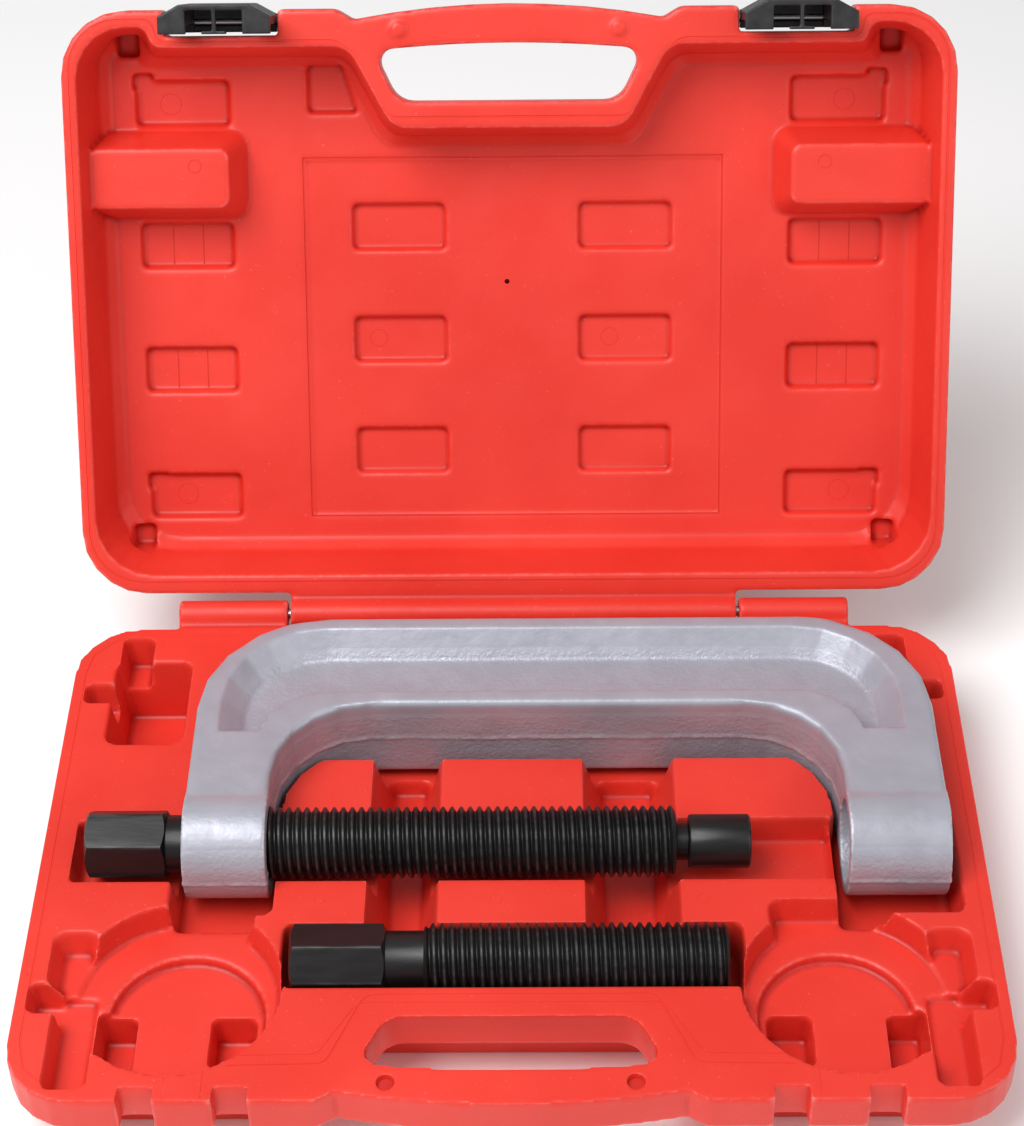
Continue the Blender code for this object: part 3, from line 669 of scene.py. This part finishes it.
def makeFoot():
    low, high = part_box("pressure_foot")
    start, end = low.x / mm, high.x / mm
    foot = turnedSolid([(start + 14.4, 0), (start + 14.4, 5.3), (start + 9.8, 5.3), (start + 9.8, 6.7),
                        (start + 7.0, 6.7), (start + 7.0, 5.3), (start, 5.3), (start, 8.8), (start + 0.2, 9.1),
                        (start + 0.7, 9.4), (end - 0.9, 9.4), (end - 0.6, 9.32), (end - 0.15, 8.9), (end, 8.6),
                        (end, 3.4), (end - 0.6, 3.2), (end - 1.4, 0)], "pressure_foot_turned", 96)
    # a ring near the end face gets a high edge value, which the black oxide paints lighter: painted highlight
    # on that edge together with rubbed oxide
    layer = foot.data.attributes.new("edge", "FLOAT", "POINT")
    for i, vert in enumerate(foot.data.vertices):
        layer.data[i].value = 1.5 if abs(vert.co.x / mm - end + 0.4) < 0.35 else 0.0
    foot.data.transform(Matrix.Translation((0, (low.y + high.y) / 2, (low.z + high.z) / 2)))
    shadeSmooth(foot, 32)
    return dressUp(foot, "foot", ["pressure_foot"], hexOxide)


makeFoot()


# latches

latchShape = {"voxel": 0.32, "smoothing": 3, "rib": 0.7, "triangles": 90000}


def makeLatch(node, name, body, joint):
    latch = copyNode(node, name, lidPlace)
    pin = lidPlace.inverted() @ Vector(joints[joint]["pos_m"]) / mm
    rib = latchShape["rib"]
    low = pin.z - 28.2
    ribs = [
        taperedBlock((pin.x - rib, pin.x + rib), (pin.y - 5.5, pin.y + 3.7), low, low + 2.4, 0.0, 0.0),
        taperedBlock((pin.x - 4.5, pin.x + 4.5), (pin.y + 2.6, pin.y + 3.7), low, low + 2.4, 0.0, 0.0),
    ]
    cutWith(latch, ribs, "UNION")
    soften(latch, latchShape["voxel"], latchShape["smoothing"])
    thinOut(latch, latchShape["triangles"])
    latch.data.transform(lidPlace)
    shadeSmooth(latch, 35)
    return dressUp(latch, body, [node], blackPlastic)


makeLatch("latch_left", "left_catch", "left_latch", "latch_left_hinge")
makeLatch("latch_right", "right_catch", "right_latch", "latch_right_hinge")


# steel pins, which stay as the frame gives them

for nodeName in ("hinge_pin_left", "hinge_pin_right", "latch_pin_left", "latch_pin_right",
                 "foot_retaining_ring"):
    frame["nodes"][nodeName].data.materials.clear()
    frame["nodes"][nodeName].data.materials.append(steelWire)
print("pins dressed")


# studio

studio = {"floor": (0.97, 0.97, 0.97), "sky": 0.40, "keyWatts": 20.0, "fillWatts": 4.0, "lens": 81.8,
          "cameraPlace": (0.0107, -0.6010, 0.7135), "cameraTurn": (0.8665, 47.864, -0.9335)}


def makeStudio():
    bm = bmesh.new()
    bmesh.ops.create_grid(bm, x_segments=1, y_segments=1, size=3.0)
    floor = keepMesh(bm, "floor")
    floor.location.z = -0.0002
    material, tree, shader, coords = newMaterial("pale studio floor")
    shader.inputs["Base Color"].default_value = (*studio["floor"], 1.0)
    shader.inputs["Roughness"].default_value = 0.9
    floor.data.materials.append(material)
    world = bpy.data.worlds.new("studio")
    world.use_nodes = True
    world.node_tree.nodes["Background"].inputs["Color"].default_value = (1.0, 1.0, 1.0, 1.0)
    world.node_tree.nodes["Background"].inputs["Strength"].default_value = studio["sky"]
    bpy.context.scene.world = world
    for name, place, watts, size in (
        ("key", (-0.55, -0.35, 1.3), studio["keyWatts"], 0.9),
        ("fill", (0.9, -0.6, 0.9), studio["fillWatts"], 0.9),
    ):
        data = bpy.data.lights.new(name, "AREA")
        data.energy = watts
        data.size = size
        lamp = bpy.data.objects.new(name, data)
        bpy.context.scene.collection.objects.link(lamp)
        lamp.location = place
        lamp.rotation_euler = (Vector((0, 0.05, 0.05)) - Vector(place)).to_track_quat("-Z", "Y").to_euler()
    data = bpy.data.cameras.new("camera")
    data.lens = studio["lens"]
    camera = bpy.data.objects.new("camera", data)
    bpy.context.scene.collection.objects.link(camera)
    swing, tilt, roll = [math.radians(angle) for angle in studio["cameraTurn"]]
    turn = Matrix.Rotation(swing, 4, "Z") @ Matrix.Rotation(tilt, 4, "X") @ Matrix.Rotation(roll, 4, "Z")
    camera.matrix_world = Matrix.Translation(studio["cameraPlace"]) @ turn
    bpy.context.scene.camera = camera
    bpy.context.scene.view_settings.view_transform = "Standard"


makeStudio()

bpy.context.view_layer.update()
